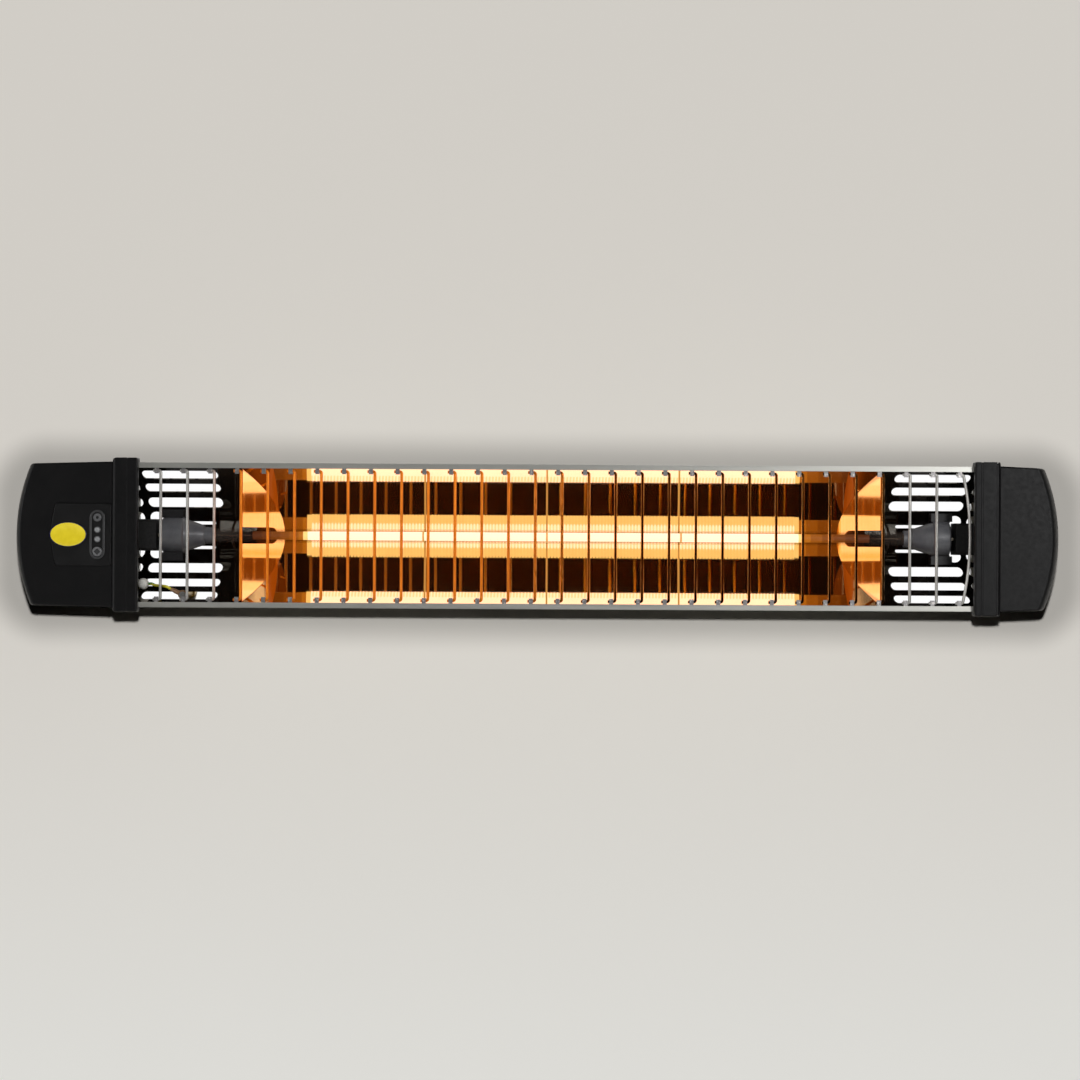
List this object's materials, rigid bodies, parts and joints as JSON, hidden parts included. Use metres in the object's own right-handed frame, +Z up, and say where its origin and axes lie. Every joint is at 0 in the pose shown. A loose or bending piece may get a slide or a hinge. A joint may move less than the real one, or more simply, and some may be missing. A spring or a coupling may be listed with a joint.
{
  "type": "infrared bar heater",
  "caption": "Long wall-mounted infrared bar heater: a lamp in a parabolic mirror trough behind guard wires, between black end caps, on a tilting bracket with a power button.",
  "frame": {"origin": "centre of the wall plate's back face, on the wall, level with the lamp and the tilt axis", "axes": "+X along the heater to its right end seen from the front, +Y into the wall (the front faces -Y), +Z up"},
  "size_m": [0.786, 0.132, 0.115],
  "materials": {
    "housing_metal": "silver anodised aluminium, satin",
    "reflector_mirror": "polished aluminium sheet",
    "shield_mirror": "polished aluminium sheet",
    "guard_steel": "dull grey steel",
    "wire_steel": "drawn steel wire",
    "quartz": "clear fused quartz",
    "hot_coil": "tungsten coil, glowing white to golden",
    "coil_metal": "dull grey metal",
    "ceramic": "dark blue-grey steatite ceramic, matt",
    "black_steel": "black painted steel, satin",
    "screw_steel": "plated steel",
    "black_rubber": "black silicone rubber, matt",
    "lead_sleeve": "braided glass sleeve",
    "cap_plastic": "black moulded plastic with a fine texture",
    "plate_metal": "mill finish aluminium",
    "cover_plastic": "black moulded plastic with a fine texture",
    "badge_enamel": "bare yellow dome with a dark blue rim",
    "bezel_plastic": "grey moulded plastic, satin",
    "sensor_plastic": "dark translucent plastic",
    "light_plastic": "grey translucent plastic",
    "button_plastic": "grey plastic, satin",
    "board_laminate": "green circuit board",
    "component_plastic": "blue and black component cases",
    "board_wire": "brown wire insulation",
    "white_plastic": "white heat-resistant plastic",
    "gland_plastic": "black nylon",
    "earth_brass": "plain brass",
    "terminal_copper": "copper, lightly heat-stained",
    "earth_sleeve": "green insulation with a yellow stripe",
    "bush_white": "off-white silicone bead",
    "bracket_paint": "black powder coat",
    "bolt_steel": "zinc-plated steel"
  },
  "bodies": {
    "wall_mount": {"wall_bracket": "bracket_paint"},
    "heater": {"housing": "housing_metal", "reflector": "reflector_mirror", "left_end_shield": "shield_mirror", "right_end_shield": "shield_mirror", "upper_guard_strip": "guard_steel", "lower_guard_strip": "guard_steel", "guard_wires": "wire_steel", "quartz_tube": "quartz", "heating_coil": "hot_coil", "coil_supports": "coil_metal", "coil_leads": "coil_metal", "left_lamp_holder": "ceramic", "right_lamp_holder": "ceramic", "left_holder_cradle": "black_steel", "right_holder_cradle": "black_steel", "cradle_screws": "screw_steel", "left_lead_boot": "black_rubber", "right_lead_boot": "black_rubber", "left_lamp_lead": "lead_sleeve", "right_lamp_lead": "lead_sleeve", "left_end_cap": "cap_plastic", "right_end_cap": "cap_plastic", "left_end_plate": "plate_metal", "right_end_plate": "plate_metal", "left_gasket": "black_rubber", "right_gasket": "black_rubber", "cap_screws": "screw_steel", "control_cover": "cover_plastic", "badge": "badge_enamel", "keypad_bezel": "bezel_plastic", "sensor_window": "sensor_plastic", "status_lights": "light_plastic", "control_board": "board_laminate", "board_components": "component_plastic", "board_screws": "screw_steel", "board_leads": "board_wire", "terminal_block": "white_plastic", "cable_gland": "gland_plastic", "gland_seal": "black_rubber", "gland_nut": "gland_plastic", "gland_locknut": "gland_plastic", "earth_post": "earth_brass", "earth_screw": "screw_steel", "ring_terminal": "terminal_copper", "earth_wire": "earth_sleeve", "wire_bush": "bush_white", "tilt_bracket": "bracket_paint", "bracket_screws": "screw_steel", "pivot_bolts": "bolt_steel", "pivot_washers": "bolt_steel", "pivot_nuts": "bolt_steel"},
    "button": {"power_button": "button_plastic"}
  },
  "joints": [
    {"name": "tilt", "type": "hinge", "parent": "wall_mount", "child": "heater", "pos_m": [0, -0.04, 0], "axis": [1, 0, 0], "range_deg": [-45, 45]},
    {"name": "power_press", "type": "slide", "parent": "heater", "child": "button", "axis": [0, 1, 0], "range_m": [0, 0.0008], "stiffness_N_per_m": 300}
  ]
}
